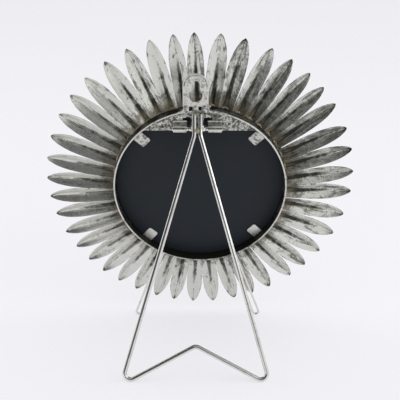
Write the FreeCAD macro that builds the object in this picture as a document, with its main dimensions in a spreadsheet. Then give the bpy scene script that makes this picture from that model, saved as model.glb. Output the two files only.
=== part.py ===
import FreeCAD, Part
import math
import os

import Sketcher
from FreeCAD import Placement, Rotation, Vector
from types import SimpleNamespace

# Round photo frame: a glazed drum with a ring of folded leaves, an easel leg on a rod hinge, two
# wire feet and a keyhole hanger. Every piece is drawn upright about the centre of the drum's rear
# rim, with X across, Y to the rear and Z up. The frame is then leaned back and set on its feet.

# Driving sizes, in millimetres and degrees
SIZES = [
    ("lean_angle", 10, "how far the frame leans back"),
    ("centre_height", 122.7, "height of the rear rim's centre above the table"),
    ("band_radius", 65.6, "outer radius of the drum"),
    ("band_wall", 1.2, "thickness of the drum's sheet"),
    ("band_depth", 14, "length of the drum from rear rim to front edge"),
    ("sight_radius", 60.5, "radius of the picture that the front lip leaves open"),
    ("bezel_lip", 1.2, "thickness of the lip that the glass rests on"),
    ("bezel_overhang", 2, "how far the front moulding covers beyond the drum"),
    ("bezel_edge", 0.8, "thickness of the front moulding at its rims"),
    ("bezel_crown", 4.5, "radius of the rounded front of the moulding"),
    ("content_clearance", 0.4, "radial play of the glass, print and board in the drum"),
    ("seat_clearance", 0.1, "radial play of a fixed piece that sits in the drum"),
    ("glass_thickness", 2, "thickness of the glass"),
    ("print_thickness", 0.3, "thickness of the photo"),
    ("board_thickness", 2.6, "thickness of the backing board"),
    ("petal_length", 52.3, "length of a leaf from the drum to its tip"),
    ("petal_width", 11.9, "width of a leaf at its widest"),
    ("petal_sheet", 0.9, "thickness of a leaf, measured front to rear"),
    ("petal_hollow", 3.4, "depth of the fold between a leaf's edges"),
    ("petal_root_depth", 7.2, "how far forward of the rear rim the root's edges lie"),
    ("petal_sweep", 7.6, "how far a tip's edges lie forward of the root's"),
    ("petal_gap", 0.15, "play for the braze between a root and the drum"),
    ("petal_unevenness", 1, "degrees that a leaf's shares of drift and swing count"),
    ("plate_thickness", 1, "thickness of the hinge plate"),
    ("plate_setback", 0.2, "how far the hinge plate sits below the rear rim"),
    ("chord_height", 49.6, "height of the hinge plate's straight edge above the centre"),
    ("window_width", 5.8, "width of a window in the hinge plate"),
    ("window_height", 6, "height of a window in the hinge plate"),
    ("window_inset", 4.7, "from the hinge's middle to a window"),
    ("window_rise", 1.2, "from the rod's axis up to a window"),
    ("hinge_height", 52.4, "height of the rod's axis above the centre"),
    ("hinge_offset", 1.9, "how far the hinge sits off the frame's middle"),
    ("rod_radius", 1.6, "radius of the hinge rod"),
    ("rod_overhang", 0.6, "how far the rod stands out of a knuckle"),
    ("rod_clearance", 0.06, "radial running play of the rod in a knuckle"),
    ("strap_thickness", 1.2, "thickness of a knuckle's strap"),
    ("knuckle_inset", 7.7, "from the hinge's middle to a knuckle"),
    ("knuckle_length", 9.9, "length of a knuckle along the rod"),
    ("strap_tail", 5.2, "length of the strap that lies on the hinge plate"),
    ("leg_radius", 1.7, "radius of the easel leg's wire"),
    ("leg_angle", 28, "angle of the open leg from the frame's back"),
    ("leg_pair_spacing", 4.4, "distance between the leg's two wires at the hinge"),
    ("leg_pair_run", 5, "how far below the rod the leg's two wires stay side by side"),
    ("leg_half_span", 51.8, "from the leg's middle to the outside of a foot's bend"),
    ("leg_skew", 1.2, "how far the feet's middle stands off the hinge's middle"),
    ("brace_rise", 24, "height of the cross brace's peak above the feet, along the leg"),
    ("foot_bend", 4.5, "bend radius of the leg's feet"),
    ("peak_bend", 5, "bend radius of the cross brace's peak"),
    ("hinge_bend", 8, "bend radius of the leg's wires at the hinge"),
    ("weld_gap", 0.1, "play for the weld between the leg and the rod"),
    ("stub_height", 63.4, "height of the leg's upper ends above the centre"),
    ("stub_clearance", 0.3, "play between the leg's upper ends and the hinge plate"),
    ("weld_radius", 1.5, "radius of a weld between the leg's wires"),
    ("weld_play", 0.05, "play between a weld and the wires it joins"),
    ("hanger_offset", 3.1, "how far the hanger sits off the frame's middle"),
    ("hanger_thickness", 1.2, "thickness of the hanger"),
    ("hanger_half_width", 9.2, "half the hanger's width and the radius of its top"),
    ("hanger_foot", 69.2, "height of the hanger's lower edge above the centre"),
    ("hanger_crown", 84.8, "height of the centre of the hanger's round top"),
    ("keyhole_radius", 4.75, "radius of the keyhole's round hole"),
    ("keyhole_height", 77.4, "height of the round hole above the centre"),
    ("slot_half_width", 2.9, "half the width of the keyhole's slot"),
    ("slot_height", 85.6, "height of the centre of the slot's round end"),
    ("bead_width", 4, "width of a weld bead under the hanger"),
    ("bead_pitch", 6.8, "distance between the weld beads"),
    ("bead_foot", 64.2, "height of the weld beads' lower ends above the centre"),
    ("upper_tab_length", 10.8, "length of an upper retaining tab from its bend"),
    ("lower_tab_length", 8.5, "length of a lower retaining tab from its bend"),
    ("tab_width", 8.5, "width of a retaining tab"),
    ("tab_sheet", 0.8, "thickness of a retaining tab"),
    ("tab_corner", 1.6, "radius of a tab's free corners"),
    ("tab_rest", 0.1, "play between a tab and the backing board"),
    ("tab_standoff", 0.4, "play between a tab's bend and the drum"),
    ("front_foot_radius", 0.9, "radius of the front feet's wire"),
    ("front_foot_reach", 49, "from the front feet's middle to a foot on the table"),
    ("front_foot_shift", 2.1, "how far the front feet's middle stands off the frame's middle"),
    ("front_foot_tilt", 18.5, "how far a front foot slants outwards"),
    ("front_foot_depth", 6, "how far forward of the rear rim the front feet lie"),
    ("front_foot_bend", 2.4, "bend radius of a front foot on the table"),
    ("front_foot_neck", 2.4, "distance between a front foot's wires at the drum"),
    ("overrun", 3, "how far a cutting shape runs past what it cuts"),
]

# A leaf's width and hollow along its length, as shares of its size
length_shares = (0, 0.2, 0.5, 0.72, 0.88, 1)
width_shares = (0.73, 0.85, 0.99, 0.91, 0.66, 0.22)
hollow_shares = (1, 1, 0.92, 0.72, 0.4, 0.08)

# The leaves are set by hand. Each one's drift from even spacing and its own swing about its root
# are shares of one degree, from the top leaf round the -X side.
petal_drift_shares = (
    1.5, 1.3, 1.1, 0.9, 1.0, 1.3, 1.7, 2.0, 1.4, 0.7, 0.0, -0.8, -1.7, -2.5,
    -3.2, -3.6, -3.8, -3.9, -3.8, -3.5, -3.2, -2.8, -2.3, -1.8, -1.4, -0.8, 0.0, 0.8,
    1.6, 2.2, 2.5, 2.8, 3.0, 3.0, 2.7, 2.3, 2.0, 1.7, 1.3, 1.0, 1.0, 1.2,
)
petal_swing_shares = (
    1.1, 0.2, 0.5, -2.0, -0.9, -0.9, 0.7, 1.6, -1.6, -0.8, -1.2, 0.6, -1.6, -1.6,
    -2.4, -1.6, 0.9, -1.9, 0.0, 1.4, 0.0, -0.1, 0.0, 1.4, 0.0, -0.1, 0.0, 0.1,
    0.3, 0.7, -0.7, 0.0, 0.7, 0.9, 0.0, -0.7, -0.5, 0.0, -0.9, -1.1, -1.2, -1.2,
)
petal_count = len(petal_drift_shares)
full_turn = 360

# Where the retaining tabs stand round the drum, from the top round the +X side, and their lengths
tabs = (
    (47.9, "Sizes.upper_tab_length"), (138.7, "Sizes.lower_tab_length"),
    (226, "Sizes.lower_tab_length"), (313.9, "Sizes.upper_tab_length"),
)

doc = FreeCAD.newDocument("round_photo_frame")
sheet = doc.addObject("Spreadsheet::Sheet", "Sizes")
for row, (alias, value, meaning) in enumerate(SIZES, start=1):
    sheet.set(f"A{row}", meaning)
    sheet.set(f"B{row}", str(value))
    sheet.setAlias(f"B{row}", alias)
doc.recompute()
size = SimpleNamespace(**{alias: float(sheet.get(alias)) for alias, value, meaning in SIZES})


# Drawing helpers: sizes are given as expressions of the sheet, so every piece follows it

def number(expression):
    """The present value of an expression."""
    return float(sheet.evalExpression(str(expression)))


def bind(piece, **sizes):
    """Tie a piece's properties to expressions."""
    for name, expression in sizes.items():
        piece.setExpression(name, str(expression))
    return piece


def put(piece, across="0", rearward="0", up="0"):
    """Tie the place of a drawn shape, before the frame is leaned back."""
    for name, expression in (("x", across), ("y", rearward), ("z", up)):
        piece.setExpression("Placement.Base." + name, str(expression))
    return piece


def block(name, low, lengths):
    """A box from its lowest corner and its three lengths."""
    piece = doc.addObject("Part::Box", name)
    bind(piece, Length=lengths[0], Width=lengths[1], Height=lengths[2])
    return put(piece, *low)


def disc(name, radius, depth, thickness, across="0", up="0"):
    """A round plate that faces the rear, its rear face at a depth below the rear rim."""
    piece = doc.addObject("Part::Cylinder", name)
    piece.Placement = Placement(Vector(), Rotation(Vector(1, 0, 0), 90))
    bind(piece, Radius=radius, Height=thickness)
    return put(piece, across, f"-({depth})", up)


def rod(name, radius, start, length, rearward, up):
    """A round bar along X."""
    piece = doc.addObject("Part::Cylinder", name)
    piece.Placement = Placement(Vector(), Rotation(Vector(0, 1, 0), 90))
    bind(piece, Radius=radius, Height=length)
    return put(piece, start, rearward, up)


def pushed(name, radius, length, facing, place):
    """A round bar or plate pushed out of a circle, so that its own place stays free."""
    circle = doc.addObject("Part::Circle", name + "_circle")
    circle.Placement = Placement(Vector(), Rotation(Vector(0, 0, 1), facing))
    bind(circle, Radius=radius)
    put(circle, *place)
    bar = doc.addObject("Part::Extrusion", name)
    bar.Base = circle
    bar.DirMode = "Custom"
    bar.Dir = facing
    bar.Solid = True
    return bind(bar, LengthFwd=length)


def fuse(name, *pieces):
    joined = doc.addObject("Part::MultiFuse", name)
    joined.Shapes = list(pieces)
    joined.Refine = True
    return joined


def cut(name, base, tool):
    left = doc.addObject("Part::Cut", name)
    left.Base = base
    left.Tool = tool
    return left


def sketch(name, corners, where):
    """A closed outline of straight lines through corners, each a pair of expressions."""
    drawing = doc.addObject("Sketcher::SketchObject", name)
    drawing.Placement = where
    points = [Vector(number(across), number(up), 0) for across, up in corners]
    count = len(points)
    for index, point in enumerate(points):
        drawing.addGeometry(Part.LineSegment(point, points[(index + 1) % count]), False)
    for index in range(count):
        drawing.addConstraint(Sketcher.Constraint("Coincident", index, 2, (index + 1) % count, 1))
    for index, corner in enumerate(corners):
        for kind, expression in zip(("DistanceX", "DistanceY"), corner):
            place = drawing.addConstraint(
                Sketcher.Constraint(kind, -1, 1, index, 1, number(expression)))
            drawing.setExpression(f"Constraints[{place}]", str(expression))
    return drawing


def tangent_run(first, second):
    """Ends of the straight run between two bends of a flat wire, each (centre, signed radius).

    A radius above zero turns left, one below zero turns right, and zero is a plain end.
    """
    gap = second[0] - first[0]
    swing = -math.asin((second[1] - first[1]) / gap.Length)
    along = Rotation(Vector(0, 0, 1), math.degrees(swing)).multVec(gap).normalize()
    left = Vector(-along.y, along.x, 0)
    return first[0] - left * first[1], second[0] - left * second[1]


def pin_arc(pin, arrival, departure):
    """Start, middle and end of the bend round a pin."""
    centre, radius = pin
    first = arrival - centre
    last = departure - centre
    side = math.copysign(1, radius)
    swept = side * math.atan2(first.x * last.y - first.y * last.x, first.dot(last)) % math.tau
    halfway = Rotation(Vector(0, 0, 1), math.degrees(side * swept / 2))
    return arrival, centre + halfway.multVec(first), departure


def corner_arc(before, corner, after, radius):
    """Start, middle and end of the bend that rounds a corner."""
    back = (before - corner).normalize()
    ahead = (after - corner).normalize()
    half = back.getAngle(ahead) / 2
    inward = (back + ahead).normalize()
    reach = radius / math.tan(half)
    centre = corner + inward * (radius / math.sin(half))
    return corner + back * reach, centre - inward * radius, corner + ahead * reach


def wire_line(name, first, bends, last):
    """The centre line of a bent wire: straight runs joined by bends."""
    edges = []
    here = first
    for start, middle, end in bends:
        edges.append(Part.LineSegment(here, start).toShape())
        edges.append(Part.Arc(start, middle, end).toShape())
        here = end
    edges.append(Part.LineSegment(here, last).toShape())
    line = doc.addObject("Part::Feature", name)
    line.Shape = Part.Wire(edges)
    return line


def bent_wire(name, line, radius):
    """A round wire along its centre line."""
    first = line.Shape.Edges[0]
    start = first.valueAt(first.FirstParameter)
    along = first.tangentAt(first.FirstParameter)
    section = doc.addObject("Part::Circle", name + "_section")
    section.Placement = Placement(start, Rotation(Vector(0, 0, 1), along))
    bind(section, Radius=radius)
    wire = doc.addObject("Part::Sweep", name)
    wire.Sections = [section]
    wire.Spine = (line, [f"Edge{place}" for place in range(1, len(line.Shape.Edges) + 1)])
    wire.Solid = True
    wire.Frenet = False
    wire.Transition = "Transformed"
    return wire


# Where the pieces stand: the leaned frame, and the hinge and hanger beside its middle
leaned = Placement(Vector(0, 0, size.centre_height), Rotation(Vector(1, 0, 0), -size.lean_angle))
at_hinge = leaned * Placement(Vector(size.hinge_offset, 0, 0), Rotation())
at_hanger = leaned * Placement(Vector(size.hanger_offset, 0, 0), Rotation())

nodes = []


def node(piece, label, place=leaned):
    """Name a finished piece and stand it in the leaned frame."""
    piece.Label = label
    nodes.append((piece, place))
    return piece


# Drum and front moulding

band_inner = "(Sizes.band_radius - Sizes.band_wall)"
band_core = disc("band_core", band_inner, "-Sizes.overrun", "Sizes.band_depth + 2 * Sizes.overrun")
band_outside = disc("band_outside", "Sizes.band_radius", "0", "Sizes.band_depth")
node(cut("band", band_outside, band_core), "ring_band")


def front_moulding():
    """The moulding is turned: a lip inside the drum, a rounded face and a rim outside it."""
    lip_rear = "-(Sizes.band_depth - Sizes.bezel_lip)"
    seat = f"{band_inner} - Sizes.seat_clearance"
    rim = "Sizes.band_radius + Sizes.bezel_overhang"
    face = "-(Sizes.band_depth + Sizes.bezel_edge)"
    corners = [
        ("Sizes.sight_radius", lip_rear), (seat, lip_rear), (seat, "-Sizes.band_depth"),
        (rim, "-Sizes.band_depth"), (rim, face), ("Sizes.sight_radius", face),
    ]
    profile = sketch("moulding_profile", corners, Placement())
    turned = doc.addObject("Part::Revolution", "moulding_base")
    turned.Source = profile
    turned.Axis = Vector(0, 1, 0)
    turned.Angle = full_turn
    turned.Solid = True
    # The rounded face is the front part of a ring whose section is a circle of the crown's radius
    half_face = f"({rim} - Sizes.sight_radius) / 2"
    crown = doc.addObject("Part::Torus", "moulding_crown")
    crown.Placement = Placement(Vector(), Rotation(Vector(1, 0, 0), 90))
    bind(crown, Radius1=f"({rim} + Sizes.sight_radius) / 2", Radius2="Sizes.bezel_crown")
    put(crown, rearward=f"{face} + sqrt(Sizes.bezel_crown ^ 2 - ({half_face}) ^ 2)")
    front = disc("moulding_front", f"{rim} + Sizes.overrun", f"-({face})", "2 * Sizes.bezel_crown")
    rounded = doc.addObject("Part::MultiCommon", "moulding_face")
    rounded.Shapes = [crown, front]
    return fuse("moulding", turned, rounded)


node(front_moulding(), "front_bezel")

# Glass, print and board, stacked from the lip towards the rear

content_radius = f"{band_inner} - Sizes.content_clearance"
glass_depth = "Sizes.band_depth - Sizes.bezel_lip - Sizes.glass_thickness"
print_depth = f"{glass_depth} - Sizes.print_thickness"
board_depth = f"{print_depth} - Sizes.board_thickness"
for name, label, depth, thickness in (
        ("pane", "glass", glass_depth, "Sizes.glass_thickness"),
        ("photo", "photo_insert", print_depth, "Sizes.print_thickness"),
        ("board", "backing_board", board_depth, "Sizes.board_thickness")):
    node(pushed(name, content_radius, thickness, Vector(0, -1, 0), ("0", f"-({depth})", "0")), label)


# Retaining tabs: each lies on the board and bends up about its root beside the drum's wall

tab_depth = f"({board_depth} - Sizes.tab_rest - Sizes.tab_sheet / 2)"
tab_pivot = number(f"{band_inner} - Sizes.tab_standoff - Sizes.tab_sheet / 2")


def retaining_tab(label, angle, length):
    """A square tab with a rolled root, drawn with its bend on the X axis and its length downward."""
    flat = doc.addObject("PartDesign::Body", label + "_body")
    base = next(part for part in flat.Origin.OriginFeatures if part.Role == "XZ_Plane")
    outline = flat.newObject("Sketcher::SketchObject", label + "_outline")
    outline.AttachmentSupport = (base, "")
    outline.MapMode = "FlatFace"
    outline.setExpression("AttachmentOffset.Base.z", "-Sizes.tab_sheet / 2")
    half = "Sizes.tab_width / 2"
    corners = [(f"-{half}", f"-{length}"), (half, f"-{length}"), (half, "0"), (f"-{half}", "0")]
    points = [Vector(number(across), number(up), 0) for across, up in corners]
    for index, point in enumerate(points):
        outline.addGeometry(Part.LineSegment(point, points[(index + 1) % len(points)]), False)
    for index, corner in enumerate(corners):
        outline.addConstraint(
            Sketcher.Constraint("Coincident", index, 2, (index + 1) % len(corners), 1))
        for kind, expression in zip(("DistanceX", "DistanceY"), corner):
            place = outline.addConstraint(
                Sketcher.Constraint(kind, -1, 1, index, 1, number(expression)))
            outline.setExpression(f"Constraints[{place}]", expression)
    pad = flat.newObject("PartDesign::Pad", label + "_pad")
    pad.Profile = outline
    bind(pad, Length="Sizes.tab_sheet")
    doc.recompute()
    free_corners = [
        f"Edge{place}" for place, edge in enumerate(pad.Shape.Edges, start=1)
        if edge.BoundBox.ZMax < -size.tab_width / 2 and edge.BoundBox.XLength < size.tab_rest]
    fillet = flat.newObject("PartDesign::Fillet", label + "_corners")
    fillet.Base = (pad, free_corners)
    bind(fillet, Radius="Sizes.tab_corner")
    flat.Tip = fillet
    root = rod(label + "_root", "Sizes.tab_sheet / 2", f"-{half}", "Sizes.tab_width", "0", "0")
    tab = fuse(label + "_whole", flat, root)
    round_drum = Placement(Vector(), Rotation(Vector(0, 1, 0), angle))
    at_root = Placement(Vector(0, -number(tab_depth), tab_pivot), Rotation())
    return node(tab, label, leaned * round_drum * at_root)


for place, (angle, length) in enumerate(tabs, start=1):
    retaining_tab(f"retaining_tab_{place}", angle, length)


# Hinge plate: the top segment of the opening, with a window each side of the leg

plate_disc = disc("plate_disc", f"{band_inner} - Sizes.seat_clearance", "Sizes.plate_setback",
                  "Sizes.plate_thickness")
plate_upper = block(
    "plate_upper",
    ("-Sizes.band_radius", "-(Sizes.plate_setback + Sizes.plate_thickness + Sizes.overrun)",
     "Sizes.chord_height"),
    ("2 * Sizes.band_radius", "Sizes.plate_thickness + 2 * Sizes.overrun", "Sizes.band_radius"))
segment = doc.addObject("Part::MultiCommon", "plate_segment")
segment.Shapes = [plate_disc, plate_upper]


def window(name, inner_edge):
    """A cutting block for one window of the hinge plate."""
    low = (inner_edge, "-(Sizes.plate_setback + Sizes.plate_thickness + Sizes.overrun)",
           "Sizes.hinge_height + Sizes.window_rise")
    lengths = ("Sizes.window_width", "Sizes.plate_thickness + 2 * Sizes.overrun", "Sizes.window_height")
    return block(name, low, lengths)


windows = fuse(
    "plate_windows",
    window("window_left", "Sizes.hinge_offset - Sizes.window_inset - Sizes.window_width"),
    window("window_right", "Sizes.hinge_offset + Sizes.window_inset"))
node(cut("plate", segment, windows), "hinge_plate")

# Hinge: two rolled straps hold the rod just behind the plate

rod_rearward = "(Sizes.rod_radius + Sizes.rod_clearance + Sizes.strap_thickness - Sizes.plate_setback)"
knuckle_radius = "(Sizes.rod_radius + Sizes.rod_clearance + Sizes.strap_thickness)"
rod_half = "(Sizes.knuckle_inset + Sizes.knuckle_length + Sizes.rod_overhang)"


def knuckle(label, start):
    roll = rod(label + "_roll", knuckle_radius, start, "Sizes.knuckle_length", rod_rearward,
               "Sizes.hinge_height")
    tail = block(label + "_tail", (start, "-Sizes.plate_setback", "Sizes.hinge_height"),
                 ("Sizes.knuckle_length", "Sizes.strap_thickness", "Sizes.strap_tail"))
    bore = rod(label + "_bore", "Sizes.rod_radius + Sizes.rod_clearance", f"{start} - Sizes.overrun",
               "Sizes.knuckle_length + 2 * Sizes.overrun", rod_rearward, "Sizes.hinge_height")
    strap = fuse(label + "_strap", roll, tail)
    return node(cut(label + "_rolled", strap, bore), label, at_hinge)


knuckle("hinge_knuckle_left", "-(Sizes.knuckle_inset + Sizes.knuckle_length)")
knuckle("hinge_knuckle_right", "Sizes.knuckle_inset")
node(pushed("hinge_bar", "Sizes.rod_radius", f"2 * {rod_half}", Vector(1, 0, 0),
            (f"-{rod_half}", rod_rearward, "Sizes.hinge_height")), "hinge_rod", at_hinge)


# Easel leg: one wire, up one side, across the brace and up the other, welded behind the rod

def leg_line(name):
    """The leg's centre line, open against its stop."""
    slope = math.radians(size.leg_angle)
    upward = Vector(0, -math.sin(slope), math.cos(slope))
    rearward = Vector(0, math.cos(slope), math.sin(slope))
    rod_axis = Vector(0, number(rod_rearward), size.hinge_height)
    crossing = rod_axis + rearward * (size.rod_radius + size.weld_gap + size.leg_radius)
    # The feet's bends rest on the table: their height fixes how far down the leg they lie
    fall = math.cos(math.radians(size.leg_angle - size.lean_angle))
    pin_height = size.leg_radius + size.foot_bend * fall
    pin_down = (leaned.multVec(crossing).z - pin_height) / fall
    foot_across = size.leg_half_span - size.foot_bend
    peak = size.brace_rise - pin_down - size.foot_bend - size.peak_bend
    half_pair = size.leg_pair_spacing / 2
    stops = [
        (Vector(-half_pair, -size.leg_pair_run, 0), 0),
        (Vector(size.leg_skew - foot_across, -pin_down, 0), size.foot_bend),
        (Vector(size.leg_skew, peak, 0), -size.peak_bend),
        (Vector(size.leg_skew + foot_across, -pin_down, 0), size.foot_bend),
        (Vector(half_pair, -size.leg_pair_run, 0), 0),
    ]
    runs = [tangent_run(first, second) for first, second in zip(stops, stops[1:])]

    def in_space(point):
        return crossing + Vector(point.x, 0, 0) + upward * point.y

    feet = [
        tuple(in_space(point) for point in pin_arc(stops[place], runs[place - 1][1], runs[place][0]))
        for place in range(1, len(stops) - 1)]
    end_rearward = size.leg_radius + size.stub_clearance - size.plate_setback
    ends = [Vector(side * half_pair, end_rearward, size.stub_height) for side in (-1, 1)]
    behind_rod = [crossing + Vector(side * half_pair, 0, 0) for side in (-1, 1)]
    parting = [in_space(stops[0][0]), in_space(stops[-1][0])]
    bends = [
        corner_arc(ends[0], behind_rod[0], parting[0], size.hinge_bend),
        corner_arc(behind_rod[0], parting[0], feet[0][0], size.hinge_bend),
        *feet,
        corner_arc(feet[-1][-1], parting[1], behind_rod[1], size.hinge_bend),
        corner_arc(parting[1], behind_rod[1], ends[1], size.hinge_bend),
    ]
    return wire_line(name, ends[0], bends, ends[1]), crossing, ends


line, crossing, ends = leg_line("leg_line")
node(bent_wire("leg_wire", line, "Sizes.leg_radius"), "easel_leg", at_hinge)


# Welds between the leg's two wires, one at the rod and one at the upper ends

def weld(name, centre):
    half = "(Sizes.leg_pair_spacing / 2 - Sizes.leg_radius - Sizes.weld_play)"
    return pushed(name, "Sizes.weld_radius", f"2 * {half}", Vector(1, 0, 0),
                  (f"-{half}", centre.y, centre.z))


top = (ends[0] + ends[1]) / 2
upper_centre = top + (crossing - top).normalize() * size.weld_radius
node(fuse("welds", weld("lower_weld", crossing), weld("upper_weld", upper_centre)), "leg_weld", at_hinge)


# Hanger: a rounded tab with a keyhole, on three weld beads that stand on the drum's rear rim

hanger_front = "-Sizes.hanger_thickness"
hanger_sheet = "Sizes.hanger_thickness"
cut_front = "-Sizes.overrun"
cut_sheet = "Sizes.hanger_thickness + 2 * Sizes.overrun"
tab_body = block("hanger_body", ("-Sizes.hanger_half_width", "0", "Sizes.hanger_foot"),
                 ("2 * Sizes.hanger_half_width", hanger_sheet, "Sizes.hanger_crown - Sizes.hanger_foot"))
tab_top = disc("hanger_top", "Sizes.hanger_half_width", hanger_front, hanger_sheet, up="Sizes.hanger_crown")
beads = [
    block(f"hanger_bead_{place}",
          (f"{place} * Sizes.bead_pitch - Sizes.bead_width / 2", "0", "Sizes.bead_foot"),
          ("Sizes.bead_width", hanger_sheet, "Sizes.hanger_foot - Sizes.bead_foot"))
    for place in (-1, 0, 1)]
keyhole = fuse(
    "keyhole",
    disc("keyhole_round", "Sizes.keyhole_radius", f"{hanger_front} - Sizes.overrun", cut_sheet,
         up="Sizes.keyhole_height"),
    disc("keyhole_end", "Sizes.slot_half_width", f"{hanger_front} - Sizes.overrun", cut_sheet,
         up="Sizes.slot_height"),
    block("keyhole_slot", ("-Sizes.slot_half_width", cut_front, "Sizes.keyhole_height"),
          ("2 * Sizes.slot_half_width", cut_sheet, "Sizes.slot_height - Sizes.keyhole_height")))
node(cut("hanger", fuse("hanger_blank", tab_body, tab_top, *beads), keyhole), "hanger_plate", at_hanger)


# Front feet: a narrow wire loop each side, from the drum's wall down to the table

def front_foot(label, side):
    lean = math.radians(size.lean_angle)
    tilt = math.radians(size.front_foot_tilt)
    # How far down the frame the loop's lowest point rests on the table
    drop = size.centre_height + size.front_foot_depth * math.sin(lean) - size.front_foot_radius
    centre_across = size.front_foot_shift + side * size.front_foot_reach
    centre = Vector(centre_across, size.front_foot_bend - drop / math.cos(lean), 0)
    inward = Vector(-side * math.sin(tilt), math.cos(tilt), 0)
    beside = Vector(inward.y, -inward.x, 0) * (size.front_foot_neck / 2)
    wall = size.band_radius + size.petal_gap

    def meet_wall(start):
        """Where a line from start along the foot first meets the drum."""
        along = start.dot(inward)
        return start - inward * (along + math.sqrt(along ** 2 - start.dot(start) + wall ** 2))

    stops = [
        (meet_wall(centre - beside), 0), (centre, size.front_foot_bend),
        (meet_wall(centre + beside), 0)]
    down, up = [tangent_run(first, second) for first, second in zip(stops, stops[1:])]

    def in_space(point):
        return Vector(point.x, -size.front_foot_depth, point.y)

    bend = tuple(in_space(point) for point in pin_arc(stops[1], down[1], up[0]))
    line = wire_line(label + "_line", in_space(stops[0][0]), [bend], in_space(stops[-1][0]))
    return node(bent_wire(label + "_wire", line, "Sizes.front_foot_radius"), label)


front_foot("front_foot_left", -1)
front_foot("front_foot_right", 1)


# Leaves: folded sheet, drawn upright with the root at zero height, then set round the drum

def petal_sections():
    """The leaf's section at stations along its length, wide and hollow in the middle."""
    sections = []
    for station, shares in enumerate(zip(length_shares, width_shares, hollow_shares)):
        along, wide, deep = shares
        half = f"Sizes.petal_width * {wide} / 2"
        edge = f"-(Sizes.petal_root_depth + Sizes.petal_sweep * {along})"
        fold = f"{edge} - Sizes.petal_hollow * {deep}"
        corners = [
            (f"-{half}", edge), ("0", fold), (half, edge),
            (half, f"{edge} - Sizes.petal_sheet"), ("0", f"{fold} - Sizes.petal_sheet"),
            (f"-{half}", f"{edge} - Sizes.petal_sheet"),
        ]
        section = sketch(f"petal_section_{station}", corners, Placement())
        sections.append(put(section, up=f"Sizes.petal_length * {along}"))
    return sections


sections = petal_sections()
at_root = Placement(Vector(0, 0, size.band_radius + size.petal_gap), Rotation())
for place, (drift, swing) in enumerate(zip(petal_drift_shares, petal_swing_shares)):
    leaf = doc.addObject("Part::Loft", f"leaf_{place + 1:02d}")
    leaf.Sections = sections
    leaf.Solid = True
    leaf.Ruled = False
    angle = drift * size.petal_unevenness - place * full_turn / petal_count
    round_drum = Placement(Vector(), Rotation(Vector(0, 1, 0), angle))
    own_swing = Placement(Vector(), Rotation(Vector(0, 1, 0), swing * size.petal_unevenness))
    node(leaf, f"petal_{place + 1:02d}", leaned * round_drum * at_root * own_swing)

doc.recompute()

# The origin is at the middle of the whole frame's footprint, on the table

for piece, place in nodes:
    piece.Placement = place * piece.Placement
doc.recompute()
bounds = FreeCAD.BoundBox()
for piece, place in nodes:
    bounds.add(piece.Shape.optimalBoundingBox(False, False))
to_origin = Placement(Vector(-bounds.Center.x, -bounds.Center.y, -bounds.ZMin), Rotation())
for piece, place in nodes:
    piece.Placement = to_origin * piece.Placement
doc.recompute()

# Every object must have been made, and every piece must be a whole solid

for thing in doc.Objects:
    if "Invalid" in thing.State or "Error" in thing.State:
        raise RuntimeError(f"{thing.Name} could not be made: {thing.State}")
for piece, place in nodes:
    if piece.Shape.isNull() or not piece.Shape.isValid() or not piece.Shape.Solids:
        raise RuntimeError(f"{piece.Label} is not a valid solid")

os.makedirs("parts", exist_ok=True)
for piece, place in nodes:
    piece.Shape.exportStep(os.path.join("parts", piece.Label + ".step"))

hinge_point = (to_origin * at_hinge).multVec(Vector(0, number(rod_rearward), size.hinge_height))
print("pieces", len(nodes), "size", bounds.XLength, bounds.YLength, bounds.ZLength)
print("hinge axis at", hinge_point, "origin moved by", to_origin.Base)
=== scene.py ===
import math

import bmesh
import bpy
import numpy as np
from mathutils import Matrix, Vector, noise


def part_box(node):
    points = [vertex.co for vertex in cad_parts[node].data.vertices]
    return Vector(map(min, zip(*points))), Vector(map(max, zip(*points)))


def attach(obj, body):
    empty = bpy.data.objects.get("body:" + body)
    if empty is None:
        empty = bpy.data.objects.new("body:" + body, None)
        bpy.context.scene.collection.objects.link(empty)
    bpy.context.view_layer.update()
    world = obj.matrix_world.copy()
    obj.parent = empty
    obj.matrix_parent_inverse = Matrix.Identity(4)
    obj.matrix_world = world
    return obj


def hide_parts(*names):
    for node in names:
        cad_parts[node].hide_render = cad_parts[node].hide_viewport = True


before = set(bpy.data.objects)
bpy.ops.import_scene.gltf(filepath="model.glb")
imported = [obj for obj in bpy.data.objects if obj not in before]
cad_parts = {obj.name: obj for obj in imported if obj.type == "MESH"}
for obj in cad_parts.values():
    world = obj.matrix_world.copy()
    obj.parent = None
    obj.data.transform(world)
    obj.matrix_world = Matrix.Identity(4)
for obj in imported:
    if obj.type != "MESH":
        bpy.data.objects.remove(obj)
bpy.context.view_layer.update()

bl_info = {
    "name": "Round Photo Frame",
    "version": (1, 0, 0),
    "blender": (4, 5, 0),
    "location": "View3D > Sidebar > Photo Frame",
    "description": "Leaves, metal finishes and stage for the round photo frame",
    "category": "Object",
}

MM = 0.001

# The drum's own frame: X across, Y to the rear from the rear rim, Z up the leaned back
LEAN = math.radians(10)
BAND_RADIUS = 65.6 * MM
BAND_DEPTH = 14 * MM
band_low, band_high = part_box("ring_band")
drum_frame = (
    Matrix.Translation((band_low + band_high) / 2)
    @ Matrix.Rotation(-LEAN, 4, "X")
    @ Matrix.Translation((0, BAND_DEPTH / 2, 0))
)

# Leaf widths and folds at stations along the length, as shares of the sizes
LENGTH_SHARES = (0, 0.2, 0.5, 0.72, 0.88, 1)
WIDTH_SHARES = (0.77, 0.9, 1, 0.91, 0.63, 0.19)
HOLLOW_SHARES = (1, 1, 1, 0.94, 0.74, 0.24)

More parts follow.
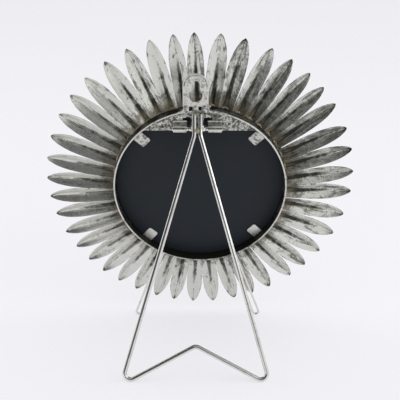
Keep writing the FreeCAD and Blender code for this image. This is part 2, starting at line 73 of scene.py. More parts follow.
# How far each hand-set leaf stands from even spacing and swings about its root, in degrees
LEAF_DRIFTS = (
    1.5, 1.3, 1.1, 0.9, 1.0, 1.3, 1.7, 2.0, 1.4, 0.7, 0.0, -0.8, -1.7, -2.5,
    -3.2, -3.6, -3.8, -3.9, -3.8, -3.5, -3.2, -2.8, -2.3, -1.8, -1.4, -0.8, 0.0, 0.8,
    1.6, 2.2, 2.5, 2.8, 3.0, 3.0, 2.7, 2.3, 2.0, 1.7, 1.3, 1.0, 1.0, 1.2,
)
LEAF_SWINGS = (
    1.1, 0.2, 0.5, -2.0, -0.9, -0.9, 0.7, 1.6, -1.6, -0.8, -1.2, 0.6, -1.6, -1.6,
    -2.4, -1.6, 0.9, -1.9, 0.0, 1.4, 0.0, -0.1, 0.0, 1.4, 0.0, -0.1, 0.0, 0.1,
    0.3, 0.7, -0.7, 0.0, 0.7, 0.9, 0.0, -0.7, -0.5, 0.0, -0.9, -1.1, -1.2, -1.2,
)
LEAF_COUNT = len(LEAF_DRIFTS)

# The hinge and the hanger, in the drum's frame
HINGE_ACROSS = 1.9 * MM
HINGE_UP = 52.4 * MM
ROD_REARWARD = 2.66 * MM
LEG_ANGLE = math.radians(28)
WIRE_RADIUS = 1.7 * MM
WIRE_HALF_PAIR = 2.2 * MM
STUB_REARWARD = 1.8 * MM
STUB_UP = 63.4 * MM
KNUCKLE_MIDDLE = 12.65 * MM
LEG_DOWNWARD = Vector((0, math.sin(LEG_ANGLE), -math.cos(LEG_ANGLE)))
LEG_REARWARD = Vector((0, math.cos(LEG_ANGLE), math.sin(LEG_ANGLE)))
CROSSING = Vector((HINGE_ACROSS, ROD_REARWARD, HINGE_UP)) + LEG_REARWARD * 3.4 * MM
HANGER_ACROSS = 3.1 * MM
HANGER_CROWN = 84.8 * MM
HANGER_HALF_WIDTH = 9.2 * MM


class LeafSizes(bpy.types.PropertyGroup):
    """Sizes of the folded leaves"""

    length: bpy.props.FloatProperty(
        name="Length", description="From the drum to the tip", default=52.3 * MM, unit="LENGTH")
    width: bpy.props.FloatProperty(
        name="Width", description="Across the widest part", default=11.9 * MM, unit="LENGTH")
    sheet: bpy.props.FloatProperty(
        name="Sheet", description="Thickness, front to rear", default=0.9 * MM, unit="LENGTH")
    hollow: bpy.props.FloatProperty(
        name="Hollow", description="Depth of the fold", default=3.4 * MM, unit="LENGTH")
    root_depth: bpy.props.FloatProperty(
        name="Root depth", description="From the rear rim forward to a root's edges",
        default=7.2 * MM, unit="LENGTH")
    sweep: bpy.props.FloatProperty(
        name="Sweep", description="How far a tip lies forward of its root",
        default=7.6 * MM, unit="LENGTH")
    root_gap: bpy.props.FloatProperty(
        name="Root gap", description="Between a root and the drum", default=0.15 * MM,
        unit="LENGTH")


class FinishColours(bpy.types.PropertyGroup):
    """Colours of the finishes"""

    silver: bpy.props.FloatVectorProperty(
        name="Silver", description="Clean metal of the leaves and plates", subtype="COLOR",
        default=(0.67, 0.67, 0.625), min=0, max=1)
    # The dark end of old metal: real tarnish, and also the colour of painted shade on the leaves
    # and the drum
    tarnish_and_shade: bpy.props.FloatVectorProperty(
        name="Tarnish", description="Dark bloom in folds and along edges", subtype="COLOR",
        default=(0.035, 0.036, 0.030), min=0, max=1)
    grey: bpy.props.FloatVectorProperty(
        name="Grey", description="Dulled metal between the two", subtype="COLOR",
        default=(0.24, 0.242, 0.212), min=0, max=1)
    wire: bpy.props.FloatVectorProperty(
        name="Wire", description="Bright wire of the leg and feet", subtype="COLOR",
        default=(0.76, 0.76, 0.73), min=0, max=1)
    braze: bpy.props.FloatVectorProperty(
        name="Braze", description="Brass filler at the joints", subtype="COLOR",
        default=(0.44, 0.385, 0.25), min=0, max=1)
    board: bpy.props.FloatVectorProperty(
        name="Board", description="Backing board", subtype="COLOR",
        default=(0.0135, 0.0175, 0.0222), min=0, max=1)


class StageSettings(bpy.types.PropertyGroup):
    """Camera, floor and lamps"""

    camera_rearward: bpy.props.FloatProperty(
        name="Camera distance", description="Behind the rim's centre", default=0.5616,
        unit="LENGTH")
    camera_height: bpy.props.FloatProperty(
        name="Camera height", description="Above the table", default=0.330, unit="LENGTH")
    camera_pitch: bpy.props.FloatProperty(
        name="Camera pitch", description="Downward tilt", default=math.radians(21),
        subtype="ANGLE")
    lens: bpy.props.FloatProperty(
        name="Lens", description="Focal length in millimetres", default=71.1)
    floor: bpy.props.FloatVectorProperty(
        name="Floor", description="Colour of the floor", subtype="COLOR",
        default=(0.91, 0.905, 0.94), min=0, max=1)
    room_light: bpy.props.FloatProperty(
        name="Room light", description="Even light from all round", default=0.74, min=0)
    wall: bpy.props.FloatProperty(
        name="Wall", description="How bright the pale wall round the object is", default=0.86,
        min=0)
    ceiling: bpy.props.FloatProperty(
        name="Ceiling", description="How bright the ceiling and the room behind the camera are",
        default=0.09, min=0)
    side_power: bpy.props.FloatProperty(
        name="Side lamp", description="Power of the lamp at the right", default=3.6,
        unit="POWER")
    key_power: bpy.props.FloatProperty(
        name="Key lamp", description="Power of the lamp over the shoulder", default=1.1,
        unit="POWER")
    fill_power: bpy.props.FloatProperty(
        name="Fill lamp", description="Power of the lamp at the left front", default=2.6,
        unit="POWER")
    sun_strength: bpy.props.FloatProperty(
        name="Sun", description="Strength of the soft overhead light", default=0.35, min=0)
    floor_glow: bpy.props.FloatProperty(
        name="Floor glow", description="Share of the floor's look that shadows leave alone",
        default=0.65, min=0, max=1, subtype="FACTOR")


class RoundFrameSettings(bpy.types.PropertyGroup):
    """Everything that a user of the photo frame may change"""

    leaf: bpy.props.PointerProperty(type=LeafSizes, name="Leaf", description="Leaf sizes")
    colour: bpy.props.PointerProperty(type=FinishColours, name="Colour", description="Finishes")
    stage: bpy.props.PointerProperty(type=StageSettings, name="Stage", description="Stage")


# Node helpers

def add(tree, kind, inputs=None, **settings):
    """A node with its settings, its inputs set to values or joined to other sockets."""
    made = tree.nodes.new(kind)
    for name, value in settings.items():
        setattr(made, name, value)
    for name, value in (inputs or {}).items():
        join(tree, made.inputs[name], value)
    return made


def join(tree, socket, value):
    if isinstance(value, bpy.types.NodeSocket):
        tree.links.new(value, socket)
    else:
        socket.default_value = value


def calc(tree, operation, *values, clamp=False):
    """The result of a Math node."""
    made = tree.nodes.new("ShaderNodeMath")
    made.operation = operation
    made.use_clamp = clamp
    for socket, value in zip(made.inputs, values):
        join(tree, socket, value)
    return made.outputs[0]


def plus(tree, total, *others):
    """The sum of several values."""
    for other in others:
        total = calc(tree, "ADD", total, other)
    return total


def minus(tree, value, other):
    return calc(tree, "SUBTRACT", value, other)


def times(tree, product, *others):
    """The product of several values."""
    for other in others:
        product = calc(tree, "MULTIPLY", product, other)
    return product


def ramp(tree, value, low, high, start=0.0, end=1.0):
    """A smooth step of a value between two limits."""
    made = add(tree, "ShaderNodeMapRange", interpolation_type="SMOOTHSTEP", inputs={
        "Value": value, "From Min": low, "From Max": high, "To Min": start, "To Max": end})
    return made.outputs["Result"]


def speckle(tree, vector, scale, detail=4.0, roughness=0.6, distortion=0.0):
    made = add(tree, "ShaderNodeTexNoise", inputs={
        "Vector": vector, "Scale": scale, "Detail": detail, "Roughness": roughness,
        "Distortion": distortion})
    return made.outputs["Fac"]


def blend(tree, factor, first, second):
    """A colour between two others."""
    made = tree.nodes.new("ShaderNodeMix")
    made.data_type = "RGBA"
    join(tree, made.inputs["Factor"], factor)
    sockets = [socket for socket in made.inputs if socket.type == "RGBA"]
    join(tree, sockets[0], first)
    join(tree, sockets[1], second)
    return next(socket for socket in made.outputs if socket.type == "RGBA")


def opaque(colour):
    return (*colour, 1.0)


def new_group(name, kind, sockets):
    """A node group with named sockets, and its input and output nodes."""
    tree = bpy.data.node_groups.new(name, kind)
    for label, direction, socket_type, default in sockets:
        socket = tree.interface.new_socket(label, in_out=direction, socket_type=socket_type)
        if default is not None:
            socket.default_value = default
    return tree, tree.nodes.new("NodeGroupInput"), tree.nodes.new("NodeGroupOutput")


def metal_bloom_group():
    """Blotches, speckles and pits of old metal."""
    name = "Metal bloom"
    if name in bpy.data.node_groups:
        return bpy.data.node_groups[name]
    tree, given, result = new_group(name, "ShaderNodeTree", (
        ("Vector", "INPUT", "NodeSocketVector", None),
        ("Blotch scale", "INPUT", "NodeSocketFloat", 90.0),
        ("Speckle scale", "INPUT", "NodeSocketFloat", 700.0),
        ("Contrast", "INPUT", "NodeSocketFloat", 1.0),
        ("Bias", "INPUT", "NodeSocketFloat", 0.0),
        ("Bloom", "OUTPUT", "NodeSocketFloat", None),
        ("Relief", "OUTPUT", "NodeSocketFloat", None),
    ))
    place = given.outputs["Vector"]
    blotch = speckle(tree, place, given.outputs["Blotch scale"], 7.0, 0.68, 0.6)
    grains = speckle(tree, place, given.outputs["Speckle scale"], 3.0, 0.7)
    broad = ramp(tree, blotch, 0.40, 0.66)
    fine = ramp(tree, grains, 0.47, 0.66)
    mixed = plus(tree, times(tree, broad, 0.62), times(tree, fine, 0.34))
    scaled = times(tree, mixed, given.outputs["Contrast"])
    join(tree, result.inputs["Bloom"],
         calc(tree, "ADD", scaled, given.outputs["Bias"], clamp=True))
    join(tree, result.inputs["Relief"],
         minus(tree, times(tree, blotch, 0.7), times(tree, fine, 0.3)))
    return tree


def finish(material, colour, roughness, metallic, height=None, strength=0.3, depth=0.1 * MM):
    """Give a material its colour, roughness and relief from sockets of its own tree."""
    tree = material.node_tree
    shader = tree.nodes["Principled BSDF"]
    join(tree, shader.inputs["Base Color"], colour)
    join(tree, shader.inputs["Roughness"], roughness)
    shader.inputs["Metallic"].default_value = metallic
    if height is not None:
        relief = add(tree, "ShaderNodeBump", inputs={
            "Strength": strength, "Distance": depth, "Height": height})
        join(tree, shader.inputs["Normal"], relief.outputs["Normal"])
    return material


def new_material(name):
    """A material with an empty tree, and that tree with its shader."""
    material = bpy.data.materials.new(name)
    material.use_nodes = True
    tree = material.node_tree
    tree.nodes.clear()
    shader = tree.nodes.new("ShaderNodeBsdfPrincipled")
    surface = tree.nodes.new("ShaderNodeOutputMaterial")
    tree.links.new(shader.outputs["BSDF"], surface.inputs["Surface"])
    return material, tree


def bloom(tree, blotch, fine, contrast, bias):
    """The shared metal effect, placed in a material on its object coordinates."""
    made = tree.nodes.new("ShaderNodeGroup")
    made.node_tree = metal_bloom_group()
    for name, value in (("Vector", object_place(tree)), ("Blotch scale", blotch),
                        ("Speckle scale", fine), ("Contrast", contrast), ("Bias", bias)):
        join(tree, made.inputs[name], value)
    return made.outputs["Bloom"], made.outputs["Relief"]


def object_place(tree):
    return tree.nodes.new("ShaderNodeTexCoord").outputs["Object"]


def drum_place(tree, across=0.0, rearward=0.0, up=0.0):
    """Object coordinates in the drum's frame, from a point of it, as three values."""
    mapping = add(tree, "ShaderNodeMapping", vector_type="TEXTURE", inputs={
        "Vector": object_place(tree),
        "Location": drum_frame @ Vector((across, rearward, up)),
        "Rotation": (-LEAN, 0, 0)})
    parts = add(tree, "ShaderNodeSeparateXYZ", inputs={"Vector": mapping.outputs["Vector"]})
    return parts.outputs["X"], parts.outputs["Y"], parts.outputs["Z"]


def three_tones(tree, colours, bloomed):
    """Clean, dulled and tarnished metal along one value; the dark end also serves painted shade.
    """
    dulled = ramp(tree, bloomed, 0.05, 0.5)
    clean = blend(tree, dulled, opaque(colours.silver), opaque(colours.grey))
    return blend(tree, ramp(tree, bloomed, 0.5, 1.0), clean, opaque(colours.tarnish_and_shade))


def old_silver(material, colours, bloomed, height, clean_dull, metallic, strength, depth=0.1 * MM):
    """Finish a metal whose tone and roughness both follow its bloom."""
    tree = material.node_tree
    colour = three_tones(tree, colours, bloomed)
    roughness = ramp(tree, bloomed, 0.0, 1.0, *clean_dull)
    return finish(material, colour, roughness, metallic, height, strength, depth)


def join_shaders(tree, share, first, second):
    """Give the surface a mixture of two shaders."""
    mixed = add(tree, "ShaderNodeMixShader", {"Fac": share})
    tree.links.new(first, mixed.inputs[1])
    tree.links.new(second, mixed.inputs[2])
    tree.links.new(mixed.outputs["Shader"], tree.nodes["Material Output"].inputs["Surface"])


def seen_directly(tree):
    """One where the camera sees a thing, also through glass or in metal."""
    path = tree.nodes.new("ShaderNodeLightPath")
    camera, glossy, through = (
        path.outputs[f"Is {kind} Ray"] for kind in ("Camera", "Glossy", "Transmission"))
    return calc(tree, "MAXIMUM", camera, calc(tree, "MAXIMUM", glossy, through))


# Materials

def leaf_metal(colours):
    """Old silver: a dark wedge of painted shade in the fold, roots darkened as painted shade, dark
    tips, streaks along the leaf, and painted light by side and height.
    """
    material, tree = new_material("Leaf silver")
    uv = add(tree, "ShaderNodeUVMap", uv_map="UVMap")
    parts = add(tree, "ShaderNodeSeparateXYZ", {"Vector": uv.outputs["UV"]})
    across, along = parts.outputs["X"], parts.outputs["Y"]
    tone = add(tree, "ShaderNodeAttribute", attribute_name="tone").outputs["Fac"]
    front = add(tree, "ShaderNodeAttribute", attribute_name="front").outputs["Fac"]
    # The tone differs from leaf to leaf, so it also picks each leaf's own streaks
    streak_place = add(tree, "ShaderNodeCombineXYZ", {
        "X": times(tree, across, 3.0), "Y": times(tree, along, 1.7),
        "Z": times(tree, tone, 47.0)}).outputs["Vector"]
    streaks = speckle(tree, streak_place, 1.5, 7.0, 0.66, 0.7)
    wander = times(tree, minus(tree, streaks, 0.5), 0.26)
    ragged_along = plus(tree, along, wander)
    middle = calc(tree, "MULTIPLY_ADD", tone, 0.05, 0.475)
    off_fold = calc(tree, "ABSOLUTE", minus(tree, across, middle))
    # Painted shade: the dark wedge in the fold is wide at the root and thins to a line at the tip;
    # the thin crease line below is patina
    wedge = calc(tree, "MULTIPLY_ADD", minus(tree, 1.0, along), 0.21, 0.01)
    inside = minus(tree, 1.0, calc(tree, "DIVIDE", plus(tree, off_fold, wander), wedge))
    fold = times(tree, calc(tree, "MULTIPLY", inside, 1.8, clamp=True),
                 ramp(tree, ragged_along, 0.40, 0.85, 1.0, 0.0))
    crease = times(tree, ramp(tree, off_fold, 0.008, 0.045, 1.0, 0.0),
                   ramp(tree, tone, 0.1, 0.9, 0.15, 0.6))
    fold = calc(tree, "MAXIMUM", times(tree, fold, 0.95), crease)
    fold = times(tree, fold, minus(tree, 1.0, front))
    rim = ramp(tree, calc(tree, "ABSOLUTE", minus(tree, across, 0.5)), 0.462, 0.492)
    # Painted shade: the leaf is darkened towards its root, where it meets the drum
    root = ramp(tree, ragged_along, 0.0, 0.34, 0.52, 0.0)
    tip = ramp(tree, ragged_along, 0.93, 1.0, 0.0, 0.5)
    patches = ramp(tree, streaks, 0.44, 0.72, -0.14, 0.52)
    # Painted light: the leaves at one side and the low ones are painted lighter, the top ones
    # darker
    aside, _, up = drum_place(tree)
    bias = plus(
        tree, times(tree, fold, 0.8), times(tree, rim, 0.18), plus(tree, root, tip), patches,
        ramp(tree, aside, -0.09, 0.09, 0.06, -0.3), ramp(tree, up, -0.11, 0.11, -0.08, 0.09),
        calc(tree, "MULTIPLY_ADD", tone, 0.26, -0.13))
    bloomed, relief = bloom(tree, 170.0, 900.0, 0.66, bias)
    brassy = times(tree, ramp(tree, ragged_along, 0.03, 0.22, 0.6, 0.0),
                   ramp(tree, streaks, 0.40, 0.62))
    colour = blend(tree, brassy, three_tones(tree, colours, bloomed), opaque(colours.braze))
    copper = ramp(tree, speckle(tree, object_place(tree), 34.0, 2.0), 0.68, 0.76, 0.0, 0.3)
    colour = blend(tree, copper, colour, (0.22, 0.11, 0.08, 1.0))
    roughness = ramp(tree, bloomed, 0.0, 1.0, 0.22, 0.55)
    return finish(material, colour, roughness, 0.85, relief, 0.3, 0.3 * MM)


def band_metal(colours):
    """The drum: a bright worn rear rim on a wall darkened partly by tarnish and partly as painted
    shade inside the drum, with more painted shade towards the bottom.
    """
    material, tree = new_material("Drum silver")
    _, rearward, up = drum_place(tree)
    # The wall away from the worn rear rim is darkened: partly tarnish, partly painted shade inside
    # the drum
    worn = ramp(tree, rearward, -0.6 * MM, -0.2 * MM, 0.6, -0.3)
    # Painted shade: the drum is painted darker towards the bottom
    low = ramp(tree, up, -60 * MM, -15 * MM, 0.42, 0.0)
    bloomed, relief = bloom(tree, 120.0, 900.0, 0.9, plus(tree, worn, low))
    return old_silver(material, colours, bloomed, relief, (0.28, 0.6), 0.85, 0.4)


def moulding_metal(colours):
    """The rounded front moulding, rubbed bright on its crown."""
    material, tree = new_material("Moulding silver")
    _, rearward, _ = drum_place(tree)
    worn = ramp(tree, rearward, -16.5 * MM, -14.0 * MM, -0.18, 0.35)
    bloomed, relief = bloom(tree, 110.0, 800.0, 0.75, worn)
    return old_silver(material, colours, bloomed, relief, (0.26, 0.58), 0.88, 0.4)


def sheet_metal(colours, name, blotch, contrast, bias):
    """Mottled sheet or filler."""
    material, tree = new_material(name)
    bloomed, relief = bloom(tree, blotch, 1300.0, contrast, bias)
    return old_silver(material, colours, bloomed, relief, (0.30, 0.62), 0.8, 0.6, 0.25 * MM)


def uneven(tree, scale, depth):
    """A wandering width for a drawn line."""
    return times(tree, speckle(tree, object_place(tree), scale, 3.0), depth)


def knuckle_metal(colours):
    """Rolled strap, bright on the roll, with the dark seam where its edge meets it."""
    material, tree = new_material("Knuckle silver")
    _, rearward, up = drum_place(tree, rearward=ROD_REARWARD, up=HINGE_UP)
    off_seam = plus(tree, calc(tree, "ABSOLUTE", minus(tree, up, 1.3 * MM)),
                    uneven(tree, 420.0, 0.9 * MM))
    seam = times(tree, ramp(tree, off_seam, 0.7 * MM, 1.0 * MM, 1.0, 0.0),
                 ramp(tree, rearward, 0.0, 1.0 * MM))
    root = ramp(tree, up, 2.5 * MM, 3.1 * MM, 0.0, 0.6)
    bias = plus(tree, times(tree, seam, 0.9), minus(tree, root, 0.2))
    bloomed, relief = bloom(tree, 300.0, 1300.0, 0.7, bias)
    height = minus(tree, relief, seam)
    return old_silver(material, colours, bloomed, height, (0.26, 0.6), 0.85, 0.6, 0.25 * MM)


def hanger_metal(colours):
    """Mottled sheet with a dark scribed line inside the hanger's round top."""
    material, tree = new_material("Hanger silver")
    across, _, up = drum_place(tree, across=HANGER_ACROSS, up=HANGER_CROWN)
    above = calc(tree, "MAXIMUM", up, 0.0)
    radius = calc(tree, "SQRT", plus(
        tree, times(tree, across, across), times(tree, above, above)))
    line = HANGER_HALF_WIDTH - 1.1 * MM
    off_line = plus(tree, calc(tree, "ABSOLUTE", minus(tree, radius, line)),
                    uneven(tree, 380.0, 0.6 * MM))
    scribed = times(tree, ramp(tree, off_line, 0.35 * MM, 0.65 * MM, 1.0, 0.0),
                    ramp(tree, up, -3 * MM, 1 * MM))
    worn = ramp(tree, radius, line + 0.4 * MM, line + 0.9 * MM, 0.0, -0.35)
    bias = plus(tree, times(tree, scribed, 0.6), minus(tree, worn, 0.12))
    bloomed, relief = bloom(tree, 420.0, 1300.0, 0.8, bias)
    height = minus(tree, relief, times(tree, scribed, 0.8))
    return old_silver(material, colours, bloomed, height, (0.32, 0.62), 0.8, 0.6, 0.25 * MM)


def wire_metal(colours):
    """Bright drawn wire with a few dull patches."""
    material, tree = new_material("Bright wire")
    bloomed, relief = bloom(tree, 85.0, 1500.0, 0.8, -0.3)
    colour = blend(tree, bloomed, opaque(colours.wire), opaque(colours.grey))
    roughness = ramp(tree, bloomed, 0.0, 1.0, 0.16, 0.45)
    return finish(material, colour, roughness, 0.97, relief, 0.12)


def braze_metal(colours):
    """Filler that has gone from brass to grey green."""
    material, tree = new_material("Braze")
    bloomed, relief = bloom(tree, 320.0, 1500.0, 0.9, 0.05)
    grey_green = (0.20, 0.22, 0.17, 1.0)
    aged = blend(tree, ramp(tree, bloomed, 0.1, 0.6), opaque(colours.braze), grey_green)
    colour = blend(tree, ramp(tree, bloomed, 0.6, 1.0), aged, opaque(colours.tarnish_and_shade))
    roughness = ramp(tree, bloomed, 0.0, 1.0, 0.35, 0.6)
    return finish(material, colour, roughness, 0.75, relief, 0.7, 0.25 * MM)


def board_surface(colours):
    """Black card with a faint tooth and a little dust."""
    material, tree = new_material("Backing board")
    place = object_place(tree)
    tooth = speckle(tree, place, 2600.0, 2.0)
    dust = ramp(tree, speckle(tree, place, 45.0, 6.0, 0.7), 0.5, 0.8, 0.0, 0.12)
    colour = blend(tree, dust, opaque(colours.board), (0.03, 0.033, 0.038, 1.0))
    tree.nodes["Principled BSDF"].inputs["Specular IOR Level"].default_value = 0.22
    roughness = ramp(tree, tooth, 0.3, 0.7, 0.5, 0.62)
    return finish(material, colour, roughness, 0.0, tooth, 0.12, 0.05 * MM)


def photo_paper():
    """Blank photo paper, faintly clouded."""
    material, tree = new_material("Photo paper")
    clouds = speckle(tree, object_place(tree), 30.0, 3.0)
    colour = blend(tree, clouds, (0.74, 0.74, 0.72, 1.0), (0.80, 0.80, 0.79, 1.0))
    return finish(material, colour, ramp(tree, clouds, 0.3, 0.7, 0.3, 0.36), 0.0)


def pane_glass():
    """Clear glass with a slightly uneven polish."""
    material, tree = new_material("Pane glass")
    shader = tree.nodes["Principled BSDF"]
    shader.inputs["Transmission Weight"].default_value = 1.0
    shader.inputs["IOR"].default_value = 1.5
    polish = speckle(tree, object_place(tree), 60.0, 2.0)
    tint = blend(tree, polish, (0.96, 0.98, 0.97, 1.0), (0.98, 0.99, 0.985, 1.0))
    finish(material, tint, ramp(tree, polish, 0.4, 0.7, 0.01, 0.04), 0.0)
    # Light passes the pane, so what lies behind it isn't dark
    path = tree.nodes.new("ShaderNodeLightPath")
    passing = calc(tree, "MAXIMUM", path.outputs["Is Shadow Ray"], path.outputs["Is Diffuse Ray"])
    clear = add(tree, "ShaderNodeBsdfTransparent", {"Color": tint})
    join_shaders(tree, passing, shader.outputs["BSDF"], clear.outputs["BSDF"])
    return material


# Mesh helpers

def new_object(name, mesh, material):
    """An object at the origin in the scene, wearing one material."""
    mesh.materials.clear()
    mesh.materials.append(material)
    made = bpy.data.objects.new(name, mesh)
    bpy.context.scene.collection.objects.link(made)
    return made


def dress(node, material):
    """Give a CAD piece its material."""
    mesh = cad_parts[node].data
    mesh.materials.clear()
    mesh.materials.append(material)


def eased(node, material, body, edge=0.2 * MM, joined_within=0.002 * MM):
    """A copy of a CAD piece whose sharp edges are rounded off, in the CAD piece's place."""
    shape = bmesh.new()
    shape.from_mesh(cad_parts[node].data)
    bmesh.ops.remove_doubles(shape, verts=shape.verts, dist=joined_within)
    bmesh.ops.dissolve_limit(
        shape, angle_limit=math.radians(0.4), verts=shape.verts, edges=shape.edges)
    for face in shape.faces:
        face.smooth = True
    mesh = bpy.data.meshes.new(node + "_eased")
    shape.to_mesh(mesh)
    shape.free()
    made = new_object(node + "_finish", mesh, material)
    rounding = made.modifiers.new("Eased edges", "BEVEL")
    rounding.width = edge
    rounding.segments = 3
    rounding.limit_method = "ANGLE"
    rounding.angle_limit = math.radians(35)
    rounding.harden_normals = True
    rounding.miter_outer = "MITER_ARC"
    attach(made, body)
    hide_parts(node)
    return made


def curve_through(shares, values, places):
    """Smooth values at places, through the given shares."""
    shares, values = np.array(shares, float), np.array(values, float)
    slopes = np.gradient(values, shares)
    spans = np.clip(np.searchsorted(shares, places, side="right") - 1, 0, len(shares) - 2)
    width = shares[spans + 1] - shares[spans]
    t = (places - shares[spans]) / width
    leaving, arriving = width * slopes[spans], width * slopes[spans + 1]
    start = (2 * t**3 - 3 * t**2 + 1) * values[spans] + (t**3 - 2 * t**2 + t) * leaving
    end = (3 * t**2 - 2 * t**3) * values[spans + 1] + (t**3 - t**2) * arriving
    return start + end


def leaf_blank(sizes):
    """One stamped leaf with its root at the origin, its tip up and its hollow to the rear."""
    steps, lanes = 34, 12
    along = np.sin(np.linspace(0, 1, steps) * math.pi / 2)
    half = curve_through(LENGTH_SHARES, WIDTH_SHARES, along) * sizes.width / 2
    deep = curve_through(LENGTH_SHARES, HOLLOW_SHARES, along) * sizes.hollow
    round_from = 0.955
    closing = np.clip((along - round_from) / (1 - round_from), 0, 1)
    half = half * np.sqrt(np.clip(1 - closing**2, 0.01, 1))
    across = np.linspace(-1, 1, lanes + 1)
    fold_shape = 1 - np.abs(across) ** 1.22
    thickness = sizes.sheet * (1 - 0.55 * np.abs(across) ** 8)
    shape = bmesh.new()
    uv_layer = shape.loops.layers.uv.new("UVMap")
    front_layer = shape.verts.layers.float.new("front")
    grids = []
    places = {}
    for front in (0, 1):
        grid = []
        for row in range(steps):
            edge = -(sizes.root_depth + sizes.sweep * along[row])
            line = []
            for column in range(lanes + 1):
                depth = edge - deep[row] * fold_shape[column]
                rise = (sizes.sheet - thickness[column]) / 2
                depth -= sizes.sheet - rise if front else rise
                point = shape.verts.new(
                    (across[column] * half[row], depth, along[row] * sizes.length))
                point[front_layer] = front
                places[point] = (0.5 + across[column] / 2, along[row])
                line.append(point)
            grid.append(line)
        grids.append(grid)
    rear, fore = grids
    for row in range(steps - 1):
        for column in range(lanes):
            shape.faces.new((rear[row][column], rear[row + 1][column],
                             rear[row + 1][column + 1], rear[row][column + 1]))
            shape.faces.new((fore[row][column], fore[row][column + 1],
                             fore[row + 1][column + 1], fore[row + 1][column]))
        for column in (0, lanes):
            shape.faces.new((rear[row][column], rear[row + 1][column],
                             fore[row + 1][column], fore[row][column]))
    for row in (0, steps - 1):
        for column in range(lanes):
            shape.faces.new((rear[row][column], rear[row][column + 1],
                             fore[row][column + 1], fore[row][column]))
    bmesh.ops.recalc_face_normals(shape, faces=shape.faces)
    for face in shape.faces:
        face.smooth = True
        for loop in face.loops:
            loop[uv_layer].uv = places[loop.vert]
    mesh = bpy.data.meshes.new("leaf_blank")
    shape.to_mesh(mesh)
    shape.free()
    mesh.set_sharp_from_angle(angle=math.radians(50))
    return mesh


def add_lump(shape, place, radii, unevenness=0.16, grain=420.0):
    """Add a rounded, uneven drop of filler to a mesh being built."""
    matrix = Matrix.Translation(place) @ Matrix.Diagonal((*radii, 1))
    for point in bmesh.ops.create_icosphere(shape, subdivisions=3, radius=1.0)["verts"]:
        unit = point.co.copy()
        swell = 1 + unevenness * noise.noise((matrix @ unit) * grain)
        point.co = matrix @ (unit * swell)


def lumps_mesh(name, drops, frame_matrix=None):
    """A mesh of drops, each (place, radii), in the drum's frame unless another is given."""
    shape = bmesh.new()
    for place, radii in drops:
        add_lump(shape, Vector(place), radii)
    for face in shape.faces:
        face.smooth = True
    mesh = bpy.data.meshes.new(name)
    shape.to_mesh(mesh)
    shape.free()
    mesh.transform(drum_frame if frame_matrix is None else frame_matrix)
    return mesh


def add_filler(name, drops, metal, body):
    """An object of filler drops that moves with a body."""
    made = new_object(name, lumps_mesh(name, drops), metal)
    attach(made, body)
    return made


def root_drop_blank(sizes):
    """Filler at one leaf's root, between the drum's wall and the hollow of the leaf."""
    fold = -(sizes.root_depth + sizes.hollow)
    return lumps_mesh("root_drop_blank", (
        ((0, fold + 0.3 * MM, 0.2 * MM), (2.2 * MM, 1.3 * MM, 1.0 * MM)),
        ((1.5 * MM, fold + 1.2 * MM, 0.0), (1.3 * MM, 0.9 * MM, 0.6 * MM)),
        ((-1.7 * MM, fold + 1.1 * MM, 0.0), (1.2 * MM, 0.8 * MM, 0.7 * MM)),
    ), Matrix.Identity(4))


# The ring of leaves is a Geometry Nodes tree: one blank set round the drum at its roots

def leaf_ring_group():
    name = "Leaf ring"
    if name in bpy.data.node_groups:
        return bpy.data.node_groups[name]
    tree, given, result = new_group(name, "GeometryNodeTree", (
        ("Geometry", "INPUT", "NodeSocketGeometry", None),
        ("Blank", "INPUT", "NodeSocketObject", None),
        ("Count", "INPUT", "NodeSocketInt", LEAF_COUNT),
        ("Root radius", "INPUT", "NodeSocketFloat", BAND_RADIUS),
        ("Lean", "INPUT", "NodeSocketFloat", LEAN),
        ("Centre", "INPUT", "NodeSocketVector", None),
        ("Seed", "INPUT", "NodeSocketInt", 4),
        ("Material", "INPUT", "NodeSocketMaterial", None),
        ("Geometry", "OUTPUT", "NodeSocketGeometry", None),
    ))
    index = tree.nodes.new("GeometryNodeInputIndex").outputs["Index"]
    drift, swing, breadth = (
        add(tree, "GeometryNodeInputNamedAttribute", {"Name": name}).outputs["Attribute"]
        for name in ("drift", "swing", "breadth"))
    turn = calc(tree, "DIVIDE", times(tree, index, math.tau), given.outputs["Count"])
    angle = minus(tree, drift, turn)
    root_radius = given.outputs["Root radius"]
    place = add(tree, "ShaderNodeCombineXYZ", {
        "X": times(tree, root_radius, calc(tree, "SINE", angle)),
        "Z": times(tree, root_radius, calc(tree, "COSINE", angle))})
    roots = add(tree, "GeometryNodeSetPosition", {
        "Geometry": given.outputs["Geometry"], "Position": place.outputs["Vector"]})
    facing = add(tree, "ShaderNodeCombineXYZ", {"Y": plus(tree, angle, swing)})
    stretch = add(tree, "ShaderNodeCombineXYZ", {"X": breadth, "Y": 1.0, "Z": 1.0})
    blank = add(tree, "GeometryNodeObjectInfo", {"Object": given.outputs["Blank"]})
    ring = add(tree, "GeometryNodeInstanceOnPoints", {
        "Points": roots.outputs["Geometry"], "Instance": blank.outputs["Geometry"],
        "Rotation": facing.outputs["Vector"], "Scale": stretch.outputs["Vector"]})
    shade = add(
        tree, "FunctionNodeRandomValue", {"Seed": given.outputs["Seed"]}, data_type="FLOAT")
    toned = add(tree, "GeometryNodeStoreNamedAttribute", {
        "Geometry": ring.outputs["Instances"], "Name": "tone", "Value": shade.outputs[1],
    }, domain="INSTANCE", data_type="FLOAT")
    leaned = add(tree, "ShaderNodeCombineXYZ", {
        "X": times(tree, given.outputs["Lean"], -1.0)})
    placed = add(tree, "GeometryNodeTransform", {
        "Geometry": toned.outputs["Geometry"], "Translation": given.outputs["Centre"],
        "Rotation": leaned.outputs["Vector"]})
    real = add(tree, "GeometryNodeRealizeInstances", {"Geometry": placed.outputs["Geometry"]})
    worn = add(tree, "GeometryNodeSetMaterial", {
        "Geometry": real.outputs["Geometry"], "Material": given.outputs["Material"]})
    join(tree, result.inputs["Geometry"], worn.outputs["Geometry"])
    return tree


